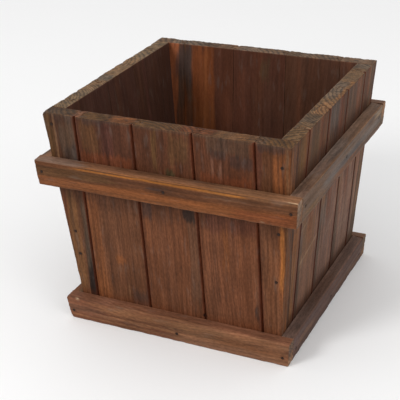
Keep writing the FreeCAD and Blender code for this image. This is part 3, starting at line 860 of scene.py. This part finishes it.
def taper(fixed, end, reach):
    """Sideways squeeze of a tapered board: from its shape at the top to its width at a height.
    fixed is where the squeeze starts, and reach is the free end's distance out at the foot."""

    def ratio(z):
        wide = abs(end * (reach + LEAN * z) - fixed) - FREE_KEEP[reach]
        full = abs(end * (reach + LEAN * HEIGHT) - fixed) - FREE_KEEP[reach]
        return wide / full

    def squeeze(u, z):
        rigid_from = end * (reach + LEAN * HEIGHT) - end * FREE_KEEP[reach]
        moved = fixed + (u - fixed) * ratio(z)
        carried = u - end * LEAN * (HEIGHT - z)
        inside = (u - fixed) * end <= 0
        beyond = (u - rigid_from) * end > 0
        return np.where(inside, u, np.where(beyond, carried, moved))

    def unsqueeze(x, z):
        return fixed + (x - fixed) / ratio(z)

    return squeeze, unsqueeze


def make_board(wall, number, seed):
    name = f"{wall}_board_{number}"
    covering = wall in COVERING
    board = BOARD[kind_of(wall)]
    shift = 0 if covering else SIDE_SHIFT
    joint = [(k - BOARDS / 2) * board + shift for k in range(BOARDS + 1)]
    left = joint[number - 1] if number > 1 else None
    right = joint[number] if number < BOARDS else None
    reach = FOOT if covering else FOOT - THICK
    free = reach + LEAN * HEIGHT
    end = -1 if left is None else 1 if right is None else 0
    squeeze, nail_spots, nails = None, [], []
    if end:
        fixed = (right - JOINT_KEEP) if end < 0 else (left + GROOVE_DEEP)
        squeeze, unsqueeze = taper(fixed, end, reach)
        if covering:
            for z in CORNER_NAILS[end]:
                x = end * (half_at(z) - THICK / 2)
                nails.append((x, -half_at(z), z))
                nail_spots.append((float(unsqueeze(x, z)), 0))
    free_round = COVER_ROUND if covering else 0
    outline = trace(board_corners(left, right, free_round, free), seed, nail_spots)

    def place(u, v, s):
        x = squeeze(u, s) if squeeze else u
        return x, -half_at(s) + v, s

    open_end = WORN if covering else TIGHT
    high = [open_end if end < 0 else TIGHT, open_end if end > 0 else TIGHT, WORN, 0.8 * WORN]
    low = [0.6 * size for size in high]
    if wall in ("back", "left"):
        high[2] = BACK_WORN
    if wall == "front" and end < 0:
        # Its top corner is knocked off: both edges are rounder towards it.
        across, over = outline["uv"].T
        high[0] = 1.2 + 3.6 * bell(over, 7)
        high[2] = 1.0 + 3.2 * bell(across + free, 6)
    dents = []
    if wall == "front" and number in KNOT_BOARDS:
        knot_y = -half_at(KNOT_HIGH) + KNOT_IN
        dents.append((KNOT_ACROSS, knot_y, KNOT_HIGH, KNOT_RADIUS, KNOT_DEEP))
    marks = sorted({z for _, _, z in nails} | {z for _, _, z, _, _ in dents})
    end_reach = END_REACH * max(1.0, np.max(high[2]) / 1.6)
    along = stations(0, HEIGHT, ALONG_STEP[wall], end_reach, marks)
    shape = sweep(outline, along, place, low, high)
    x, y, z = shape["xyz"].T
    depth = y + half_at(z)
    upper, lower, inner = (
        linear(TONE[f"{wall}_{part}"][number - 1]) for part in ("upper", "outer", "inner")
    )
    share = smooth(z, MID_RAIL_LOW, MID_RAIL_LOW + RAIL_TALL)[:, None]
    outer = mixed(lower, upper, share)
    to_joint = np.min([np.abs(x - at) for at in (left, right) if at is not None], axis=0)
    vee = np.exp(-((to_joint / VEE_STAIN[kind_of(wall)]) ** 4)) * (depth < VEE_DEPTH + 0.5)
    side_tone = TONE.get(f"{wall}_side", TONE["foot"])
    faces = [
        (FRONT, f"{wall}_outer", outer, x, z, False),
        (BACK, f"{wall}_inner", inner, x, z, False),
        (LEFT, f"{wall}_side", side_tone, depth, z, False),
        (RIGHT, f"{wall}_side", side_tone, depth, z, False),
        (UP, f"{wall}_rim", TONE[f"{wall}_rim"], depth, x, True),
        (DOWN, f"{wall}_foot", TONE["foot"], depth, x, True),
    ]
    grain = (x, depth, z)
    finish_piece(name, shape, grain, faces, nails, wall, "wall_board", seed, dents, vee)


# ---- rails

# Roundings of a rail's end edges: at its outer face, its wall side, its underside and its top.
RAIL_ENDS, BUTTED_ENDS, KNOCKED_ENDS = (1.1, 0.2, 0.8, 1.1), (0.3, 0.12, 0.3, 0.3), (3, 0.4, 2, 3)
RAIL_INNER_ROUND, BASE_UNDER_ROUND = 0.6, 0.9


def level_place(reach):
    """The place of a level piece's points: its length grows with height, from reach at the foot."""
    return lambda u, v, s: (s * (reach + LEAN * v) / reach, u, v)


def level_faces(key, names, tones, up, depth, x, on_end):
    """The faces of a level piece: front, back, top, underside and the two ends."""
    return [
        (FRONT, f"{key}_{names[0]}", tones[0], up, x, False),
        (BACK, f"{key}_{names[1]}", tones[1], up, x, False),
        (UP, f"{key}_top", tones[2], depth, x, False),
        (DOWN, f"{key}_under", tones[3], depth, x, False),
        (LEFT, f"{key}_end", tones[4], *on_end, True),
        (RIGHT, f"{key}_end", tones[4], *on_end, True),
    ]


def make_rail(wall, band, seed):
    name = f"{wall}_{band}_rail"
    covering = wall in COVERING
    low_z = MID_RAIL_LOW if band == "middle" else 0.0
    high_z = low_z + COS * RAIL_TALL

    def on_wall(z, out):
        return -(half_at(z) + COS * out), z - SIN * out

    inner_low, inner_high = on_wall(low_z, 0), on_wall(high_z, 0)
    outer_high = on_wall(high_z, RAIL_THICK)
    if band == "middle":
        outer_low, over, under = on_wall(low_z, RAIL_THICK), MID_ROUND, MID_ROUND
    else:
        outer_low, over = (-(FOOT + RAIL_THICK / COS), 0.0), BASE_ROUND
        under = BASE_UNDER_ROUND
    nail_z = MID_NAIL_HIGH if band == "middle" else BASE_NAIL_HIGH
    nail_y, nail_at = on_wall(nail_z, RAIL_THICK)
    corners = [
        (*inner_low, RAIL_INNER_ROUND, "inner", False),
        (*inner_high, RAIL_INNER_ROUND, "side", False),
        (*outer_high, over, "outer", True),
        (*outer_low, under, "side", True),
    ]
    outline = trace(corners, seed, [(nail_y, nail_at)])
    reach = FOOT + (RAIL_THICK / COS if covering else 0)
    end_nail = half_at(nail_z) + (RAIL_THICK / 2 if covering else -THICK / 2)
    nails = [(x, nail_y, nail_at) for x in (-end_nail, MIDDLE_NAIL, end_nail)]
    marks = [x * reach / (reach + LEAN * nail_at) for x, _, _ in nails]
    low, high = (RAIL_ENDS if covering else BUTTED_ENDS,) * 2
    if wall == "front" and band == "base":
        low = KNOCKED_ENDS
    along = stations(-reach, reach, ALONG_STEP["rail"], END_REACH * low[0], marks)
    shape = sweep(outline, along, level_place(reach), low, high)
    x, y, z = shape["xyz"].T
    start_y, start_z = inner_low
    up = -SIN * (y - start_y) + COS * (z - start_z)
    depth = RAIL_THICK + (y + half_at(z)) * COS
    key = f"{wall}_{band}"
    face, top = (TONE.get(f"{key}_{side}", TONE[f"rail_{side}"]) for side in ("face", "top"))
    tones = (face, TONE["rail_under"], top, TONE["rail_under"], TONE["rail_end"])
    faces = level_faces(key, ("face", "back"), tones, up, depth, x, (depth, up))
    finish_piece(name, shape, (up, depth, x), faces, nails, wall, "rail", seed)


# ---- floor


FLOOR_ENDS = (0.8, 0.8, 0.6, 0.8)
FLOOR_REACH = END_REACH * FLOOR_ENDS[0]
CLEAT_ROUND, CLEAT_EASE, SLAT_UNDER = 0.8, 0.4, 0.5


def make_cleat(wall, seed):
    def inner_at(z):
        return half_at(z) - THICK

    face = inner_at(CLEAT_LOW) - CLEAT_THICK
    corners = [
        (-inner_at(CLEAT_LOW), CLEAT_LOW, CLEAT_EASE, "side", False),
        (-face, CLEAT_LOW, CLEAT_ROUND, "outer", True),
        (-face, CLEAT_HIGH, CLEAT_ROUND, "side", True),
        (-inner_at(CLEAT_HIGH), CLEAT_HIGH, CLEAT_EASE, "inner", False),
    ]
    nail_z = (CLEAT_LOW + CLEAT_HIGH) / 2
    outline = trace(corners, seed, [(-face, nail_z)])
    reach = FOOT - THICK - CLEAT_PLAY
    nails = [(x, -face, nail_z) for x in CLEAT_NAILS]
    along = stations(-reach, reach, ALONG_STEP["floor"], FLOOR_REACH, CLEAT_NAILS)
    shape = sweep(outline, along, level_place(reach), FLOOR_ENDS, FLOOR_ENDS)
    x, y, z = shape["xyz"].T
    tones = [TONE["floor_side"]] * 5
    faces = level_faces(f"{wall}_cleat", ("back", "face"), tones, z, y, x, (y, z))
    grain = (z, -y, x)
    finish_piece(f"{wall}_floor_cleat", shape, grain, faces, nails, wall, "floor_wood", seed)


def make_slat(number, seed):
    inner = half_at(CLEAT_HIGH) - THICK
    width = (2 * (inner - SLAT_MARGIN) - (SLATS - 1) * SLAT_GAP) / SLATS
    middle = (number - (SLATS + 1) / 2) * (width + SLAT_GAP)
    low_y, high_y = middle - width / 2, middle + width / 2
    low_z, high_z = CLEAT_HIGH, CLEAT_HIGH + SLAT_THICK
    corners = [
        (low_y, low_z, SLAT_UNDER, "side", False),
        (high_y, low_z, SLAT_UNDER, "side", False),
        (high_y, high_z, SLAT_EASE, "outer", True),
        (low_y, high_z, SLAT_EASE, "side", True),
    ]
    nail_x = half_at(CLEAT_LOW) - THICK - CLEAT_THICK / 2
    rows = (middle - width / 4, middle + width / 4)
    outline = trace(corners, seed, [(y, high_z) for y in rows])
    nails = [(x, y, high_z) for x in (-nail_x, nail_x) for y in rows]
    half = inner - SLAT_PLAY
    along = stations(-half, half, ALONG_STEP["floor"], FLOOR_REACH, (-nail_x, nail_x))
    shape = sweep(outline, along, lambda u, v, s: (s, u, v), FLOOR_ENDS, FLOOR_ENDS)
    x, y, z = shape["xyz"].T
    side = TONE["floor_side"]
    tones = (side, side, TONE["floor_top"], side, side)
    faces = level_faces(f"slat_{number}", ("edge", "edge"), tones, z, y, x, (z, y))
    finish_piece(
        f"floor_slat_{number}", shape, (y, z, x), faces, nails, "front", "floor_wood", seed
    )


seed = 0
for wall in WALLS:
    for number in range(1, BOARDS + 1):
        make_board(wall, number, seed := seed + 1)
    for band in ("middle", "base"):
        make_rail(wall, band, seed := seed + 1)
    if wall not in COVERING:
        make_cleat(wall, seed := seed + 1)
for number in range(1, SLATS + 1):
    make_slat(number, seed := seed + 1)

steel = nail_steel()
for name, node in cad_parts.items():
    if name.endswith("_nails"):
        node.data.materials.clear()
        node.data.materials.append(steel)

# ---- floor, light and camera

FLOOR_HALF = 9.0
floor_mesh = bpy.data.meshes.new("studio_floor")
floor_corners = [(x * FLOOR_HALF, y * FLOOR_HALF, 0) for x, y in ((-1, -1), (1, -1), (1, 1), (-1, 1))]
floor_mesh.from_pydata(floor_corners, [], [(0, 1, 2, 3)])
studio_floor = bpy.data.objects.new("studio_floor", floor_mesh)
bpy.context.scene.collection.objects.link(studio_floor)
pale = Graph("studio_floor")
floor_mesh.materials.append(pale.finish(Base_Color=(0.93, 0.93, 0.93, 1), Roughness=0.9))

WORLD_LIGHT = 0.82
world = bpy.data.worlds.new("studio")
world.use_nodes = True
world.node_tree.nodes["Background"].inputs["Color"].default_value = (1, 1, 1, 1)
world.node_tree.nodes["Background"].inputs["Strength"].default_value = WORLD_LIGHT
bpy.context.scene.world = world


def soft_light(name, place, aim, size, power):
    light = bpy.data.lights.new(name, "AREA")
    light.shape = "DISK"
    light.size = size
    light.energy = power
    lamp = bpy.data.objects.new(name, light)
    lamp.location = place
    lamp.rotation_euler = (Vector(aim) - Vector(place)).to_track_quat("-Z", "Y").to_euler()
    bpy.context.scene.collection.objects.link(lamp)


BOX_MIDDLE = (0, 0, 0.15)
soft_light("key", (-1.3, -2.4, 1.9), BOX_MIDDLE, 1.1, 42)
soft_light("fill", (2.2, -1.0, 1.4), BOX_MIDDLE, 1.6, 10)

# The camera stands az round from the front, el above the level and dist from its aim.
CAMERA_AZ, CAMERA_EL, CAMERA_ROLL = 26.03, 25.84, -2.162
CAMERA_DIST, CAMERA_LENS = 1.2968, 94.25
CAMERA_AIM = Vector((-0.0210, -0.01675, 0.1240))

az, el, roll = (math.radians(angle) for angle in (CAMERA_AZ, CAMERA_EL, CAMERA_ROLL))
toward = Vector((math.sin(az) * math.cos(el), -math.cos(az) * math.cos(el), math.sin(el)))
level = Vector((math.cos(az), math.sin(az), 0))
upward = toward.cross(level)
right_axis = level * math.cos(roll) + upward * math.sin(roll)
up_axis = upward * math.cos(roll) - level * math.sin(roll)
camera_data = bpy.data.cameras.new("camera")
camera_data.lens = CAMERA_LENS
camera_data.sensor_width = 36
camera_data.dof.use_dof = False
camera = bpy.data.objects.new("camera", camera_data)
turn = Matrix((right_axis, up_axis, toward)).transposed().to_4x4()
camera.matrix_world = Matrix.Translation(CAMERA_AIM + toward * CAMERA_DIST) @ turn
bpy.context.scene.collection.objects.link(camera)
bpy.context.scene.camera = camera
bpy.context.scene.view_settings.view_transform = "Standard"
